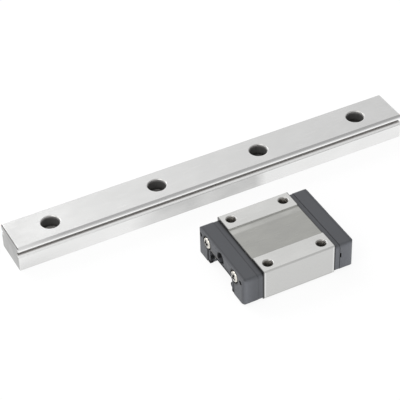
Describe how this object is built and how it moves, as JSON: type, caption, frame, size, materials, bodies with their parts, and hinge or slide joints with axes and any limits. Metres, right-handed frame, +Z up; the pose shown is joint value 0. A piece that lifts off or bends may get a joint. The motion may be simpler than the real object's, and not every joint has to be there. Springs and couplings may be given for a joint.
{
  "type": "linear guide rail",
  "caption": "Miniature linear guide: a ground steel rail with counterbored holes and a ball carriage with end caps, drawn beside the rail and sliding along it.",
  "frame": {"origin": "middle of the rail's bottom face, which is the table plane", "axes": "+X along the rail and the carriage's travel, +Y across the rail, away from the carriage, +Z up out of the rail's top"},
  "size_m": [0.15, 0.0665, 0.012],
  "materials": {
    "rail_steel": "ground",
    "block_steel": "ground",
    "cap_plastic": "moulded, satin",
    "guide_plastic": "moulded",
    "seal_rubber": "moulded",
    "screw_steel": "plated",
    "retainer_steel": "drawn",
    "ball_steel": "polished"
  },
  "bodies": {
    "rail": {"rail": "rail_steel"},
    "carriage": {"carriage_block": "block_steel", "right_return_plate": "cap_plastic", "right_end_cap": "cap_plastic", "right_end_seal": "seal_rubber", "right_far_cap_screw": "screw_steel", "right_far_return_guide": "guide_plastic", "right_near_cap_screw": "screw_steel", "right_near_return_guide": "guide_plastic", "left_return_plate": "cap_plastic", "left_end_cap": "cap_plastic", "left_end_seal": "seal_rubber", "left_far_cap_screw": "screw_steel", "left_far_return_guide": "guide_plastic", "left_near_cap_screw": "screw_steel", "left_near_return_guide": "guide_plastic", "far_ball_retainer": "retainer_steel", "far_loaded_balls": "ball_steel", "far_return_balls": "ball_steel", "near_ball_retainer": "retainer_steel", "near_loaded_balls": "ball_steel", "near_return_balls": "ball_steel"}
  },
  "joints": [
    {"name": "carriage_slide", "type": "slide", "parent": "rail", "child": "carriage", "axis": [1, 0, 0], "range_m": [-0.0568, 0.0516]}
  ]
}
